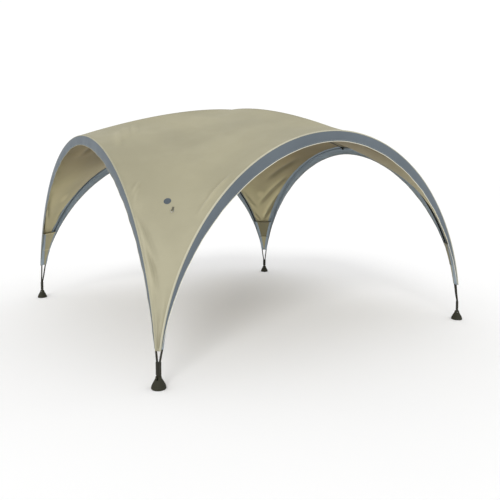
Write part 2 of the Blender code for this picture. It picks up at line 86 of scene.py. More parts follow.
# Mesh fineness
SOLVE_COLUMNS = 48
SOLVE_ROWS = 56
ARCH_STEPS = 240
LEG_POINTS = 90
COVER_POINTS = 60
RIDGE_POINTS = 161
TUBE_SIDES = 20
PIPING_SIDES = 12
BADGE_SIDES = 72
BINDING_COLUMNS = 9
FACING_COLUMNS = 15
LEG_FACING_COLUMNS = 5
VALANCE_COLUMNS = 13
POCKET_COLUMNS = 17
POCKET_ROWS = 25
PANEL_ROWS = 21
WELD = 1e-5

# Roof cloth, and the strips along its edges at the arches
CLOTH = 0.0008
RIDGE_POWER = 1.65
BINDING_WIDTH = 0.016
BINDING_EDGE = 0.0006
BINDING_RISE = 0.0036
FRONT_BINDING_RISE = 0.008
BINDING_UNDER = -0.0016
FACING_WIDTH = 0.056
NARROW_WIDTH = 0.018
FACING_TOP = -0.0018
FACING_UNDER = -0.0028
NARROW_SHARE = 0.45
SEAM_HALF_WIDTH = 0.0075
SEAM_RISE = 0.0016
SEAM_FALL = 0.0030
SEAM_UNDER = -0.0024
SEAM_END_GAP = 0.02
HEM_HALF_WIDTH = 0.011
HEM_RISE = 0.0016
HEM_ABOVE_EDGE = 0.010

# Valances. Each ripple is a rise, a length and a phase that grows from side to side.
VALANCE_FACE = 0.0136
VALANCE_HALF_SPAN = ARCH_HALF_SPAN + 0.018
VALANCE_RISE = ARCH_RISE - 0.073
VALANCE_ROUNDNESS = 1.88
VALANCE_ABOVE_HEM = 0.07
VALANCE_BULGE = 0.004
VALANCE_TUCK = 0.001
VALANCE_FULL_WIDTH = 0.08
VALANCE_RIPPLES = ((0.0016, 0.31, 1.0), (0.0009, 0.13, 2.0))
PIPING_RADIUS = 0.0028
PIPING_TAPER = 0.03
PIPING_END_SHARE = 0.15

# Pockets and the corner panels under them
POCKET_OFFSET = 0.0115
POCKET_OVERLAP = 0.004
POCKET_ABOVE_HEM = 0.01
POCKET_SEAM_SHARE = 0.48
POCKET_BELOW_TOP = 0.004
POCKET_LIFT = 0.0022
POCKET_SAG = 0.05
PANEL_ABOVE_SEAM = 0.012
PLEAT_RISE = 0.0015
PLEAT_LENGTH = 0.045
PLEAT_LEAN = 6
POCKET_HEM_PROFILE = ((-0.006, -0.0015), (-0.006, 0.0015), (0.006, 0.0015), (0.006, -0.0015))

# Legs: they part above the socket and meet the arch a little higher
LEG_SPREAD_START = 0.197
LEG_SPREAD_END = 0.29
LEG_WALL = 0.0014
LEG_END_DROP = 0.004
LEG_COVER_RADIUS = 0.0096
LEG_FACING_WIDTH = 0.034
LEG_FACING_RISE = 0.0012

# Sleeves round the bows
SLEEVE_ABOVE_LEG = 0.012
SLEEVE_INSET = 0.0006
SLEEVE_SHARE = 0.93
RUFFLE_SHARE = 0.05
RUFFLE_LENGTH = 0.061
RUFFLE_SPACING = 0.37

# Roof poles. The ferrule at the middle of a pole would be inside the crown hub.
POLE_RADIUS = 0.0055
POLE_DROP = 0.018
POLE_STEP = 0.0125
POLE_END_GAP = 0.022
POLE_SECTIONS = 6
FERRULE_JOINTS = (1, 2, 4, 5)
FERRULE_RADIUS = 0.0068
FERRULE_HALF_LENGTH = 0.047

ARCH_NORMAL = np.array((0.0, 1.0, 0.0))
POLE_NORMAL = np.array((1.0, 0.0, 0.0))
OUTWARD = np.array((-1.0, -1.0, 0.0)) / math.sqrt(2)
TANGENT = np.array((1.0, -1.0, 0.0)) / math.sqrt(2)
UP = np.array((0.0, 0.0, 1.0))


# Geometry of the arches and the roof


def lengths(vectors):
    return np.linalg.norm(vectors, axis=-1)


def unit(vectors):
    return vectors / lengths(vectors)[..., None]


def gaps(points, axis):
    """Running distance along an axis of a grid of points."""
    first = np.take(points, [0], axis=axis)
    return np.cumsum(lengths(np.diff(points, axis=axis, prepend=first)), axis=axis)


def between(first, second, count):
    """Rows of evenly spaced points from one line of points to another."""
    share = np.linspace(0, 1, count)[:, None]
    return first[:, None] * (1 - share) + second[:, None] * share


def turned(points, quarters):
    """Points turned about Z by a number of quarter turns."""
    cosine = (1, 0, -1, 0)[quarters % 4]
    sine = (0, 1, 0, -1)[quarters % 4]
    turn = np.array(((cosine, sine, 0), (-sine, cosine, 0), (0, 0, 1)), float)
    return np.asarray(points, float) @ turn


def swap_sides(points):
    """Mirrors points of the front left corner from the front arch to the left arch."""
    return np.asarray(points)[..., [1, 0, 2]]


def arch_points(angles, offset=0.0, plane=-ARCH_PLANE):
    """Points of the front arch at the given angles, moved out of the arch by offset."""
    cosine, sine = np.cos(angles), np.sin(angles)
    normal = unit(np.stack([cosine / ARCH_HALF_SPAN, sine / ARCH_RISE], -1))
    along = ARCH_HALF_SPAN * cosine + offset * normal[:, 0]
    height = ARCH_RISE * sine + offset * normal[:, 1]
    return np.stack([along, np.full_like(along, plane), height], -1)


def arch_angle(height):
    return math.asin(height / ARCH_RISE)


def valance_low_points(angles):
    """Free lower edge of the front valance, an arch a little leaner than an ellipse."""
    power = 2 / VALANCE_ROUNDNESS
    cosine = np.cos(angles)
    along = np.sign(cosine) * VALANCE_HALF_SPAN * np.abs(cosine) ** power
    height = VALANCE_RISE * np.sin(angles) ** power
    return np.stack([along, np.full_like(along, -ARCH_PLANE - VALANCE_FACE), height], -1)


def ridge_height(distance):
    return CROWN_HEIGHT - RIDGE_FALL * (distance / ROOF_EDGE) ** RIDGE_POWER


def ridge_row(columns):
    """Points from the front apex over the crown to the left apex."""
    distance = ROOF_EDGE * (1 - 2 * np.linspace(0, 1, columns + 1))
    away = np.abs(distance)
    front = np.stack([np.zeros_like(away), -away, ridge_height(away)], -1)
    return np.where(distance[:, None] >= 0, front, swap_sides(front))


def smooth_double(grid, axis):
    """Doubles the divisions along an axis, with cubic middles."""
    grid = np.moveaxis(grid, axis, 0)
    before = np.concatenate([[2 * grid[0] - grid[1]], grid[:-2]])
    after = np.concatenate([grid[2:], [2 * grid[-1] - grid[-2]]])
    middles = (9 * (grid[:-1] + grid[1:]) - before - after) / 16
    fine = np.empty((2 * len(grid) - 1, *grid.shape[1:]))
    fine[::2] = grid
    fine[1::2] = middles
    return np.moveaxis(fine, 0, axis)


def roof_grid(hem_height):
    """Cloth of the front left quarter, held at its edges and evenly tight both ways.

    Each inside point is balanced by its four neighbours, which pull across a row by
    row gap / column gap, and along a column by the inverse.
    """
    angles = np.linspace(math.pi / 2, arch_angle(hem_height), SOLVE_ROWS + 1)
    front = arch_points(math.pi - angles, SEAM_OFFSET, -ROOF_EDGE)
    grid = between(front, swap_sides(front), SOLVE_COLUMNS + 1)
    grid[0] = ridge_row(SOLVE_COLUMNS)
    row_gap = lengths(np.diff(front, axis=0)).mean()
    column_gap = lengths(front - swap_sides(front)) / SOLVE_COLUMNS
    rows, columns = SOLVE_ROWS - 1, SOLVE_COLUMNS - 1
    index = np.arange(rows * columns).reshape(rows, columns)
    balance = np.zeros((rows * columns, rows * columns))
    edge_pull = np.zeros((rows * columns, 3))
    for r in range(rows):
        across = row_gap / column_gap[r + 1]
        above = (column_gap[r + 1] + column_gap[r]) / 2 / row_gap
        below = (column_gap[r + 1] + column_gap[r + 2]) / 2 / row_gap
        for step_r, step_c, pull in ((0, -1, across), (0, 1, across), (-1, 0, above), (1, 0, below)):
            for c in range(columns):
                here = index[r, c]
                balance[here, here] += pull
                if 0 <= r + step_r < rows and 0 <= c + step_c < columns:
                    balance[here, index[r + step_r, c + step_c]] -= pull
                else:
                    edge_pull[here] += pull * grid[r + 1 + step_r, c + 1 + step_c]
    solved = np.linalg.solve(balance, edge_pull)
    grid[1:-1, 1:-1] = solved.reshape(rows, columns, 3)
    fine = smooth_double(smooth_double(grid, 1), 0)
    fine[0] = ridge_row(2 * SOLVE_COLUMNS)
    return fine


def grid_normals(grid):
    """Outward unit normals of a grid whose columns run from the front arch to the left arch."""
    normals = np.cross(np.gradient(grid, axis=1), np.gradient(grid, axis=0))
    normals[0] = normals[1]
    return unit(normals)


# Folds of the roof cloth. Each is (share across, height) at both ends, then width and rise.
FRONT_LEFT_FOLDS = (
    ((0.97, 1.22), (0.70, 0.88), 0.017, 0.020),
    ((0.95, 1.12), (0.74, 0.76), 0.014, 0.015),
    ((0.93, 1.02), (0.66, 0.66), 0.016, 0.017),
    ((0.95, 0.90), (0.80, 0.60), 0.014, 0.013),
    ((0.96, 1.40), (0.86, 1.50), 0.014, 0.013),
    ((0.97, 1.33), (0.89, 1.44), 0.012, 0.008),
    ((0.945, 2.03), (0.915, 1.88), 0.020, 0.016),
    ((0.975, 1.98), (0.955, 1.80), 0.018, 0.014),
    ((0.905, 2.06), (0.880, 1.92), 0.020, 0.011),
    ((0.12, 1.36), (0.07, 1.54), 0.015, 0.015),
    ((0.15, 1.24), (0.09, 1.44), 0.013, 0.009),
    ((0.30, 0.72), (0.42, 0.36), 0.014, 0.006),
    ((0.75, 0.60), (0.62, 0.34), 0.012, 0.006),
)
BACK_RIGHT_FOLDS = (
    ((0.97, 1.34), (0.52, 0.90), 0.021, 0.023),
    ((0.95, 1.16), (0.50, 0.86), 0.017, 0.020),
    ((0.93, 1.56), (0.40, 1.12), 0.024, 0.020),
    ((0.10, 0.98), (0.34, 0.85), 0.016, 0.012),
    ((0.06, 1.30), (0.26, 1.05), 0.020, 0.011),
    ((0.92, 1.80), (0.62, 1.50), 0.028, 0.014),
)
FRONT_RIGHT_FOLDS = (
    ((0.985, 1.62), (0.965, 0.78), 0.022, 0.015),
    ((0.03, 1.10), (0.25, 0.85), 0.020, 0.009),
    ((0.03, 1.45), (0.20, 1.25), 0.016, 0.007),
    ((0.10, 0.90), (0.34, 0.62), 0.016, 0.007),
    ((0.90, 1.95), (0.86, 1.74), 0.028, 0.010),
    ((0.10, 1.95), (0.14, 1.76), 0.028, 0.010),
)
BACK_LEFT_FOLDS = (
    ((0.04, 1.32), (0.26, 1.00), 0.022, 0.010),
    ((0.03, 1.05), (0.28, 0.78), 0.018, 0.009),
    ((0.96, 1.28), (0.74, 0.98), 0.020, 0.009),
    ((0.97, 1.02), (0.70, 0.76), 0.018, 0.008),
    ((0.10, 1.96), (0.14, 1.78), 0.026, 0.011),
    ((0.90, 1.94), (0.84, 1.76), 0.026, 0.009),
)
CORNER_FOLDS = (FRONT_LEFT_FOLDS, FRONT_RIGHT_FOLDS, BACK_RIGHT_FOLDS, BACK_LEFT_FOLDS)

# A fold bows sideways, has a trough along one side and fades towards its ends
FOLD_BOW = 0.12
FOLD_FADE = 0.42
TROUGH_SHARE = 0.45
TROUGH_PLACE = 1.7

# Puckers and a groove along the arches' seams, with a phase of their own at each arch
FRONT_PHASE = 0.4
LEFT_PHASE = 2.1
PUCKER_RISE = 0.0011
PUCKER_LENGTH = 0.19
SMALL_PUCKER_SHARE = 0.7
SMALL_PUCKER_LENGTH = 0.113
PUCKER_PLACE = 0.05
PUCKER_REACH = 0.035
GROOVE_DEPTH = 0.0016
GROOVE_LENGTH = 1.3
GROOVE_PLACE = 0.036
GROOVE_REACH = 0.010

# Gathers at the hem, and the roof's slow swell
GATHERS = 5
GATHER_RISE = 0.0034
GATHER_REACH = 0.16
SWELL_RISE = 0.0028
SWELL_REACH = 0.22
SWELL_LENGTH_X = 0.9
SWELL_LENGTH_Y = 0.73

# Where the cloth is held to its smooth shape
EDGE_HOLD = 0.018
RIDGE_HOLD = 0.12
PRESS = 0.0015
LOOP_PRESS_REACH = 0.065
BADGE_PRESS_REACH = 0.06


def wave(position, length, phase):
    return np.sin(2 * math.pi * position / length + phase)


def hump(distance, place, reach):
    """1 at a place along a distance, and falling smoothly to 0 on both sides."""
    return np.exp(-(((distance - place) / reach) ** 2))


def fold_shape(across, height, start, end, width):
    """A fold of height 1 between two (across, height) places."""
    line = end - start
    length = np.linalg.norm(line)
    along = ((across - start[0]) * line[0] + (height - start[1]) * line[1]) / length**2
    beside = ((across - start[0]) * line[1] - (height - start[1]) * line[0]) / length
    beside = beside + FOLD_BOW * length * (along - 0.5) ** 2
    body = hump(beside, 0, width) - TROUGH_SHARE * hump(beside, TROUGH_PLACE * width, width)
    return body * np.exp(-((np.abs(along - 0.5) / FOLD_FADE) ** 4))


def edge_field(distance, down, phase):
    """Puckers and a groove beside an arch's seam."""
    pucker = wave(down, PUCKER_LENGTH, phase)
    pucker = pucker + SMALL_PUCKER_SHARE * wave(down, SMALL_PUCKER_LENGTH, 2 * phase)
    groove = 0.5 + 0.5 * wave(down, GROOVE_LENGTH, phase)
    puckers = PUCKER_RISE * pucker * hump(distance, PUCKER_PLACE, PUCKER_REACH)
    return puckers - GROOVE_DEPTH * groove * hump(distance, GROOVE_PLACE, GROOVE_REACH)


def fold_field(grid, quarter):
    """How far each point of a quarter stands out of the smooth cloth."""
    columns = grid.shape[1]
    share = np.linspace(0, 1, columns)[None]
    height = grid[..., 2]
    from_front = lengths(grid - grid[:, :1])
    from_left = lengths(grid - grid[:, -1:])
    from_edge = np.minimum(from_front, from_left)
    from_ridge = gaps(grid[:, 0], 0)[:, None]
    width = from_front[:, -1:]
    across = (share - 0.5) * width
    field = np.zeros(height.shape)
    for *ends, fold_width, rise in CORNER_FOLDS[quarter]:
        places = []
        for end_share, end_height in ends:
            row = np.abs(height[:, columns // 2] - end_height).argmin()
            places.append(np.array(((end_share - 0.5) * width[row, 0], end_height)))
        field += rise * fold_shape(across, height, *places, fold_width)
    field += edge_field(from_front, from_ridge, FRONT_PHASE + quarter)
    field += edge_field(from_left, from_ridge, LEFT_PHASE + quarter)
    gathers = wave(share, 1 / GATHERS, 0.7 * quarter) * np.sin(math.pi * share)
    field += GATHER_RISE * gathers * hump(height, height[-1:].min(), GATHER_REACH)
    swell = wave(grid[..., 0] + 0.4 * height, SWELL_LENGTH_X, quarter)
    swell = swell + wave(grid[..., 1] - 0.5 * height, SWELL_LENGTH_Y, 1.0)
    field += SWELL_RISE * swell * (1 - hump(from_edge, 0, SWELL_REACH))
    field *= (1 - hump(from_edge, 0, EDGE_HOLD)) * (1 - hump(from_ridge, 0, RIDGE_HOLD))
    for place, reach in press_places(quarter):
        near = np.exp(-((lengths(grid - place) / reach) ** 4))
        field = field * (1 - near) - PRESS * near
    return field


def press_places(quarter):
    """Places where a sewn-on fitting holds the cloth flat, turned to the front left corner."""
    places = [(turned(LOOP_PLACES[quarter], -quarter), LOOP_PRESS_REACH)]
    if quarter == 0:
        places.append((BADGE_PLACE, BADGE_PRESS_REACH))
    return places


def canopy_grid(quarter):
    """The folded cloth of a quarter, and how far each point of it stands out."""
    grid = roof_grid(HEM_HEIGHTS[quarter])
    field = fold_field(grid, quarter)
    return grid + field[..., None] * grid_normals(grid), field


# Meshes


def grid_quads(rows, columns, wrap_rows=False, wrap_columns=False):
    index = np.arange(rows * columns).reshape(rows, columns)
    if wrap_columns:
        index = np.concatenate([index, index[:, :1]], axis=1)
    if wrap_rows:
        index = np.concatenate([index, index[:1]], axis=0)
    corners = (index[:-1, :-1], index[:-1, 1:], index[1:, 1:], index[1:, :-1])
    return np.stack(corners, -1).reshape(-1, 4)


def add_object(name, data):
    obj = bpy.data.objects.new(name, data)
    bpy.context.scene.collection.objects.link(obj)
    return obj


def mesh_piece(name, points, faces, uv=None):
    """An object from points and faces, with its UV in metres where it is given."""
    mesh = bpy.data.meshes.new(name)
    mesh.from_pydata(points.reshape(-1, 3).tolist(), [], [list(face) for face in faces])
    if uv is not None:
        layer = mesh.uv_layers.new(name="cloth")
        corners = np.concatenate([np.asarray(face) for face in faces])
        layer.data.foreach_set("uv", uv.reshape(-1, 2)[corners].astype(np.float32).ravel())
    mesh.shade_smooth()
    return add_object(name, mesh)


def sheet_piece(name, grid, quarters):
    """A single layer of cloth over a grid; U runs across and V down, in metres."""
    uv = np.stack([gaps(grid, 1), gaps(grid, 0)], -1)
    return mesh_piece(name, turned(grid, quarters), grid_quads(*grid.shape[:2]), uv)


def surface_area(obj):
    return sum(face.area for face in obj.data.polygons)


def ring_piece(name, rings, quarters, along, across):
    """A row of closed rings joined up, with flat ends; U runs along and V across, in metres."""
    faces = grid_quads(*rings.shape[:2], wrap_columns=True).tolist()
    count = rings.shape[1]
    last = (len(rings) - 1) * count
    faces.append(list(range(count))[::-1])
    faces.append([last + i for i in range(count)])
    uv = np.stack(np.broadcast_arrays(along, across), -1)
    obj = mesh_piece(name, turned(rings, quarters), faces, uv)
    fix_normals(obj)
    return obj


def rings_along(path, side, up, profile, scale=1.0):
    """A ring of points at each point of a path, from a profile of (side, up) points."""
    side, up = (np.broadcast_to(vectors, path.shape)[:, None] for vectors in (side, up))
    size = np.broadcast_to(scale, len(path))[:, None, None]
    return path[:, None] + (profile[:, :1] * side + profile[:, 1:] * up) * size


def sweep_piece(name, path, side, up, profile, quarters, scale=1.0):
    """A closed profile swept along a path."""
    profile = np.asarray(profile)
    rings = rings_along(path, side, up, profile, scale)
    return ring_piece(name, rings, quarters, gaps(path, 0)[:, None], gaps(profile, 0)[None])


def read_off(rows, distances, wanted):
    """Each row of points read off at the wanted distances along it."""
    axes = [
        [np.interp(want, along, row[:, axis]) for row, along, want in zip(rows, distances, wanted)]
        for axis in range(3)
    ]
    return np.moveaxis(np.array(axes), 0, -1)


def strip_piece(name, place, width, top, under):
    """Closed strip that follows the cloth in from its front or left edge.

    Place is the cloth's grid, whether the strip is at its left edge, and the quarter. Top is a
    list of heights over the cloth, from the edge inwards; under is one height.
    """
    grid, from_left, quarter = place
    normals = grid_normals(grid)
    if from_left:
        grid, normals = grid[:, ::-1], normals[:, ::-1]
    distances = gaps(grid, 1)
    reach = np.minimum(width, NARROW_SHARE * distances[:, -1])
    wanted = reach[:, None] * np.linspace(0, 1, len(top))
    cloth = read_off(grid, distances, wanted)
    out = unit(read_off(normals, distances, wanted))
    upper = cloth + np.asarray(top)[:, None] * out
    lower = (cloth + under * out)[:, ::-1]
    rings = np.concatenate([upper, lower], axis=1)
    across = np.concatenate([wanted, wanted[:, ::-1]], axis=1)
    return ring_piece(name, rings, quarter, gaps(cloth[:, 0], 0)[:, None], across)


def fix_normals(obj):
    bm = bmesh.new()
    bm.from_mesh(obj.data)
    bmesh.ops.recalc_face_normals(bm, faces=bm.faces)
    bm.to_mesh(obj.data)
    bm.free()


def circle(radius, sides=TUBE_SIDES):
    angles = np.linspace(0, 2 * math.pi, sides, endpoint=False)
    return radius * np.stack([np.cos(angles), np.sin(angles)], -1)


def in_plane_up(path, plane_normal):
    """Unit vectors across a path, in its own plane."""
    return unit(np.cross(plane_normal, np.gradient(path, axis=0)))


def tube_piece(name, path, radius, quarters, plane_normal=ARCH_NORMAL, wall=0.0):
    """A round bar along a path, or an open tube where it has a wall."""
    up = in_plane_up(path, plane_normal)
    if not wall:
        return sweep_piece(name, path, plane_normal, up, circle(radius), quarters)
    outside = rings_along(path, plane_normal, up, circle(radius))
    inside = rings_along(path, plane_normal, up, circle(radius - wall))
    points = np.concatenate([outside, inside[::-1]])
    length = gaps(path, 0)
    along = np.concatenate([length, length[::-1]])[:, None]
    uv = np.stack(np.broadcast_arrays(along, gaps(circle(radius), 0)[None]), -1)
    faces = grid_quads(*points.shape[:2], wrap_rows=True, wrap_columns=True).tolist()
    obj = mesh_piece(name, turned(points, quarters), faces, uv)
    fix_normals(obj)
    return obj


def thicken(obj, offset=-1.0, lining=False):
    """Gives a sheet its thickness; a lining is the second material on the inner side."""
    solid = obj.modifiers.new("Cloth thickness", "SOLIDIFY")
    solid.thickness = CLOTH
    solid.offset = offset
    if lining:
        solid.material_offset = 1


def join_pieces(name, objects):
    """Several meshes as one, welded where they touch."""
    bm = bmesh.new()
    for obj in objects:
        bm.from_mesh(obj.data)
        bpy.data.objects.remove(obj)
    bmesh.ops.remove_doubles(bm, verts=bm.verts, dist=WELD)
    mesh = bpy.data.meshes.new(name)
    bm.to_mesh(mesh)
    bm.free()
    mesh.shade_smooth()
    return add_object(name, mesh)


# Materials

ROOF_COLOUR = (0.395, 0.374, 0.262)
# Inside of the roof: a darker, browner copy of the roof cloth's colour, painted shade
INSIDE_COLOUR = (0.330, 0.300, 0.180)
VALANCE_COLOUR = (0.110, 0.133, 0.153)
# Front arch's binding: paler than the roof cloth, painted highlight along its rounded edge
BINDING_HIGHLIGHT_COLOUR = (0.470, 0.452, 0.342)
PIPING_COLOUR = (0.680, 0.660, 0.550)
THREAD = (0.50, 0.48, 0.37)
GREY_THREAD = (0.24, 0.28, 0.31)
SCUFF_COLOUR = (0.075, 0.071, 0.055)
STEEL_TONES = ((0.016, 0.0152, 0.0098), (0.026, 0.0245, 0.0165))
FIBRE_TONES = ((0.030, 0.031, 0.028), (0.085, 0.085, 0.076))
PLASTIC_TONES = ((0.014, 0.0135, 0.009), (0.024, 0.0225, 0.016))
RUBBER_TONES = ((0.019, 0.0187, 0.0108), (0.033, 0.0325, 0.0205))
BADGE_TONES = ((0.062, 0.078, 0.092), (0.090, 0.108, 0.124))
ZINC_TONES = ((0.40, 0.40, 0.41), (0.62, 0.62, 0.63))
WEBBING_TONES = ((0.085, 0.080, 0.055), (0.150, 0.142, 0.100))
FLOOR_TONES = ((0.95, 0.95, 0.95), (0.97, 0.97, 0.97))

# Painted shade and light in a cloth's colour, with height and on folds
# Outside of the roof: painted shade, darker and a little yellower towards the top
PAINTED_HEIGHT_SHADE = ((0.8, (0.91, 0.90, 0.90)), (2.3, (0.84, 0.82, 0.76)))
# Inside of the roof: painted light on the lower walls and painted shade under the crown
INSIDE_PAINTED_LIGHT_AND_SHADE = ((1.1, (1.52, 1.50, 1.48)), (1.95, (0.52, 0.45, 0.36)))
# Outside: painted shade in the hollows of the folds and painted highlight on their crests
PAINTED_FOLD_SHADE = (0.93, 1.07)
# Inside: painted highlight where the cloth dips in and painted shade where it bulges out, as the folds are
# seen from below
INSIDE_PAINTED_FOLD_SHADE = (1.26, 0.68)
FOLD_RANGE = (-0.008, 0.0128)

# Weave, thread and relief of cloth
CLOTH_ROUGHNESS = 0.82
WEAVE = 0.0014
FINE_WEAVE = 0.0009
SLUB_STRETCHES = ((55, 900, 1), (900, 55, 1))
STITCH_LENGTH = 0.0042
STITCH_WIDTH = 0.0009
WEAVE_RELIEF = 0.00022
CREASE_RELIEF = 0.0016
STITCH_RELIEF = 0.0006
GRIME_HEIGHTS = (0.25, 0.7)


class Finish:
    """A Principled material, with short ways to add nodes to it."""

    def __init__(self, name, roughness, **constants):
        self.material = bpy.data.materials.new(name)
        self.material.use_nodes = True
        self.tree = self.material.node_tree
        self.shader = self.tree.nodes["Principled BSDF"]
        self.shader.inputs["Roughness"].default_value = roughness
        for socket, value in constants.items():
            self.shader.inputs[socket.replace("_", " ")].default_value = value

    def put(self, socket, value):
        """Sets a socket to a number, a colour or another node's output."""
        if isinstance(value, bpy.types.NodeSocket):
            self.tree.links.new(value, socket)
        else:
            socket.default_value = value

    def add(self, kind, **settings):
        node = self.tree.nodes.new(kind)
        for key, value in settings.items():
            setattr(node, key, value)
        return node

    def math(self, operation, *values):
        node = self.add("ShaderNodeMath", operation=operation)
        for socket, value in zip(node.inputs, values):
            self.put(socket, value)
        return node.outputs[0]

    def blend(self, factor, first, second):
        node = self.add("ShaderNodeMix", data_type="RGBA")
        for name, value in (("Factor", factor), ("A", first), ("B", second)):
            socket = next(s for s in node.inputs if s.name == name and s.enabled)
            self.put(socket, (*value, 1.0) if isinstance(value, tuple) else value)
        return next(s for s in node.outputs if s.enabled)

    def scaled(self, colour, share):
        node = self.add("ShaderNodeVectorMath", operation="MULTIPLY")
        self.put(node.inputs[0], colour)
        self.put(node.inputs[1], share)
        return node.outputs[0]

    def limits(self, value, low, high, out_low=0.0, out_high=1.0):
        node = self.add("ShaderNodeMapRange", interpolation_type="SMOOTHSTEP")
        for socket, number in zip(node.inputs, (value, low, high, out_low, out_high)):
            self.put(socket, number)
        return node.outputs[0]

    def noise(self, scale, detail=3.0, stretch=None, uv=False):
        node = self.add("ShaderNodeTexNoise")
        node.inputs["Scale"].default_value = scale
        node.inputs["Detail"].default_value = detail
        place = self.uv() if uv else self.place()
        if stretch:
            mapping = self.add("ShaderNodeMapping")
            mapping.inputs["Scale"].default_value = stretch
            self.put(mapping.inputs["Vector"], place)
            place = mapping.outputs[0]
        self.put(node.inputs["Vector"], place)
        return node.outputs["Fac"]

    def place(self):
        return self.add("ShaderNodeTexCoord").outputs["Object"]

    def uv(self):
        return self.add("ShaderNodeUVMap", uv_map="cloth").outputs[0]

    def axes(self, vector):
        node = self.add("ShaderNodeSeparateXYZ")
        self.put(node.inputs[0], vector)
        return node.outputs

    def bump(self, height, distance, strength=1.0):
        """Adds a layer of relief on top of the layers before it."""
        node = self.add("ShaderNodeBump")
        node.inputs["Strength"].default_value = strength
        node.inputs["Distance"].default_value = distance
        self.put(node.inputs["Height"], height)
        before = self.shader.inputs["Normal"].links
        if before:
            self.put(node.inputs["Normal"], before[0].from_socket)
        self.put(self.shader.inputs["Normal"], node.outputs[0])

    def colour(self, value):
        self.put(self.shader.inputs["Base Color"], value)

    def roughen(self, value, low, high, low_roughness, high_roughness):
        """Roughness that goes from one value to another as a pattern goes from low to high."""
        rough = self.limits(value, low, high, low_roughness, high_roughness)
        self.put(self.shader.inputs["Roughness"], rough)


def darker(colour, share):
    return tuple(channel * share for channel in colour)


def yarns(finish, along, pitch):
    """One set of yarns as ridges across a direction, from 0 to 1."""
    turns = finish.math("MULTIPLY", along, 2 * math.pi / pitch)
    return finish.math("MULTIPLY_ADD", finish.math("SINE", turns), 0.5, 0.5)


def stitches(finish, along, across, lines):
    """Dashes of thread on lines at the given distances across the piece."""
    cycle = finish.math("FRACT", finish.math("DIVIDE", along, STITCH_LENGTH))
    from_middle = finish.math("ABSOLUTE", finish.math("SUBTRACT", cycle, 0.5))
    dash = finish.limits(from_middle, 0.30, 0.38, 1, 0)
    total = None
    for line in lines:
        away = finish.math("ABSOLUTE", finish.math("SUBTRACT", across, line))
        mask = finish.math("MULTIPLY", dash, finish.limits(away, STITCH_WIDTH * 0.4, STITCH_WIDTH, 1, 0))
        total = mask if total is None else finish.math("MAXIMUM", total, mask)
    return total


def cloth_finish(
    name, colour, weave=WEAVE, thread=THREAD, lines=(), grime=0.0, tones=None, painted_fold_shade=None
):
    """Woven polyester: yarns both ways, uneven dye, soft creases and, on a hem, thread, with painted shade
    and light by height and on folds.

    Tones are (height, share) pairs for a low and a high place, between which the colour changes: painted
    shade and light by height.
    Fold tones are the shares of the colour left in the hollows and on the crests of the folds: painted
    shade and highlight.
    """
    finish = Finish(name, CLOTH_ROUGHNESS, Sheen_Weight=0.12, Sheen_Roughness=0.5, Specular_IOR_Level=0.28)
    across, along, _ = finish.axes(finish.uv())
    height = finish.axes(finish.place())[2]
    web = finish.math("MAXIMUM", yarns(finish, across, weave), yarns(finish, along, weave))
    slubs = [finish.noise(1.0, 2.0, stretch, uv=True) for stretch in SLUB_STRETCHES]
    streaks = finish.math("MULTIPLY", finish.math("ADD", *slubs), 0.5)
    uneven = finish.limits(finish.noise(1.7, 4.0), 0.35, 0.65)
    shade = finish.blend(uneven, darker(colour, 0.93), darker(colour, 1.05))
    shade = finish.blend(finish.limits(streaks, 0.3, 0.7, 0.0, 0.35), shade, darker(colour, 0.86))
    if grime:
        low_down = finish.limits(height, *GRIME_HEIGHTS, 1, 0)
        dirt = finish.math("MULTIPLY", low_down, finish.noise(9.0, 5.0))
        shade = finish.blend(finish.math("MULTIPLY", dirt, grime), shade, darker(colour, 0.55))
    finish.bump(web, WEAVE_RELIEF, 0.5)
    finish.bump(finish.noise(26.0, 3.0), CREASE_RELIEF, 0.25)
    if lines:
        stitch = stitches(finish, across, along, lines)
        shade = finish.blend(stitch, shade, thread)
        finish.bump(stitch, STITCH_RELIEF, 0.9)
    # Painted shade in the hollows of the folds and painted highlight on their crests, scaled by how far
    # the cloth stands out
    if painted_fold_shade:
        fold = finish.add("ShaderNodeAttribute", attribute_name="fold").outputs["Fac"]
        shade = finish.scaled(shade, finish.limits(fold, *FOLD_RANGE, *painted_fold_shade))
    # Painted shade and light by height: the colour scaled between a low and a high place
    if tones:
        (low, low_share), (high, high_share) = tones
        share = finish.blend(finish.limits(height, low, high), low_share, high_share)
        shade = finish.scaled(shade, share)
    finish.colour(shade)
    finish.roughen(finish.noise(6.0, 3.0), 0.3, 0.7, CLOTH_ROUGHNESS - 0.06, CLOTH_ROUGHNESS + 0.08)
    return finish.material


def coated_steel_finish():
    """Dark powder coat with orange peel, scuffed to a lighter grey in places."""
    finish = Finish("leg_coat", 0.5, Specular_IOR_Level=0.22)
    scuffs = finish.noise(1.0, 6.0, stretch=(60, 60, 9))
    worn = finish.limits(scuffs, 0.62, 0.74)
    tone = finish.blend(finish.noise(4.0, 2.0), *STEEL_TONES)
    finish.colour(finish.blend(finish.math("MULTIPLY", worn, 0.5), tone, SCUFF_COLOUR))
    finish.roughen(scuffs, 0.2, 0.8, 0.44, 0.62)
    finish.bump(finish.noise(900.0, 2.0), 0.00012, 0.4)
    return finish.material


def fibreglass_finish():
    """Pultruded rod: fibres along it under a satin resin."""
    finish = Finish("fibreglass_rod", 0.38, Coat_Weight=0.3, Coat_Roughness=0.2)
    fibres = finish.noise(1.0, 4.0, stretch=(700, 700, 20))
    finish.colour(finish.blend(fibres, *FIBRE_TONES))
    finish.bump(fibres, 0.0001, 0.4)
    return finish.material


